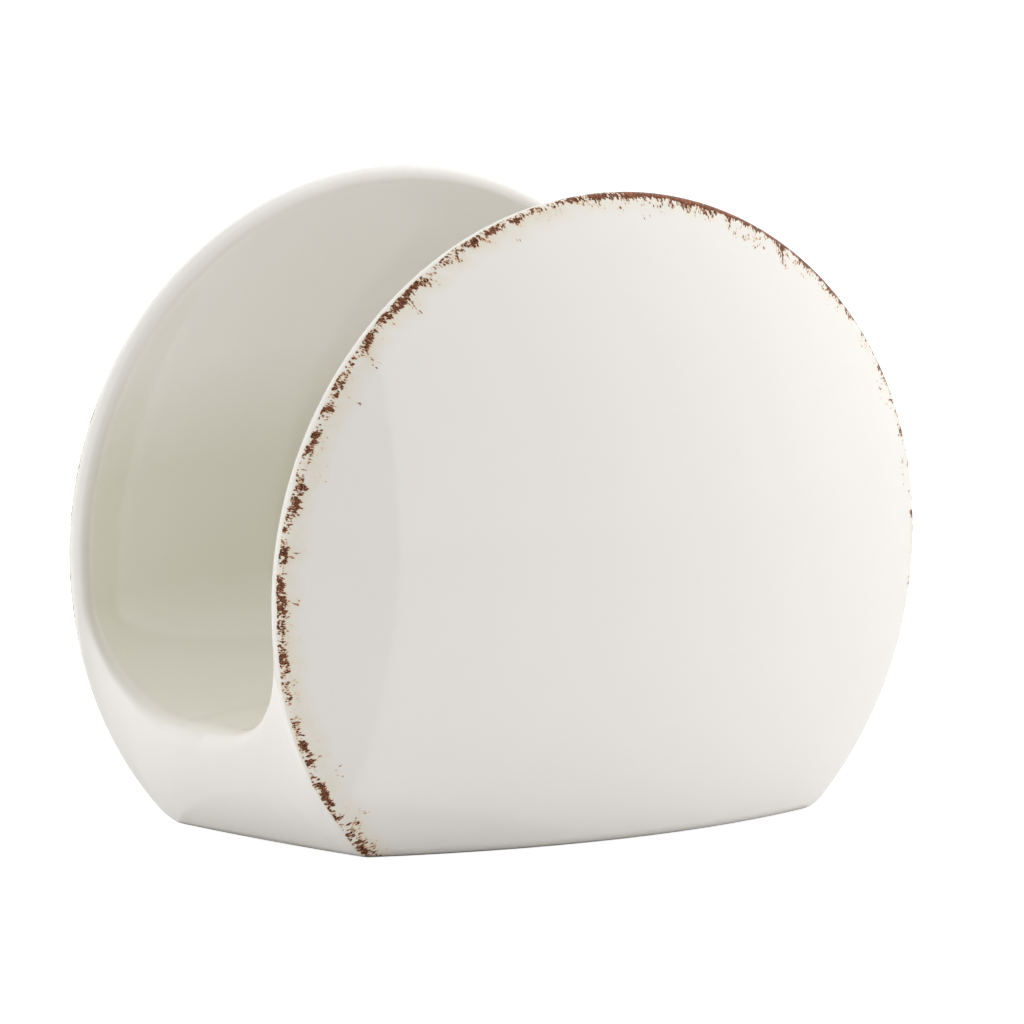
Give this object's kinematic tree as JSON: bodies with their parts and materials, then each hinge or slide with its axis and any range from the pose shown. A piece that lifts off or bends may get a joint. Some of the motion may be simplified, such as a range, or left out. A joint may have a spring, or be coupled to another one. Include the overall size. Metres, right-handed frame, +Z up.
{
  "type": "napkin holder",
  "caption": "Free-standing glazed porcelain napkin holder: two domed oval plates on one base with a U-shaped channel between them.",
  "frame": {"origin": "middle of the foot, on the surface that the holder stands on", "axes": "+X across the plates, along the channel; +Y from the front plate to the back plate; +Z up"},
  "size_m": [0.1388, 0.097, 0.1105],
  "materials": {
    "bare_porcelain": "matt",
    "ivory_glaze": "gloss"
  },
  "bodies": {
    "root": {"porcelain_body": "bare_porcelain", "glaze_coat": "ivory_glaze"}
  },
  "joints": []
}
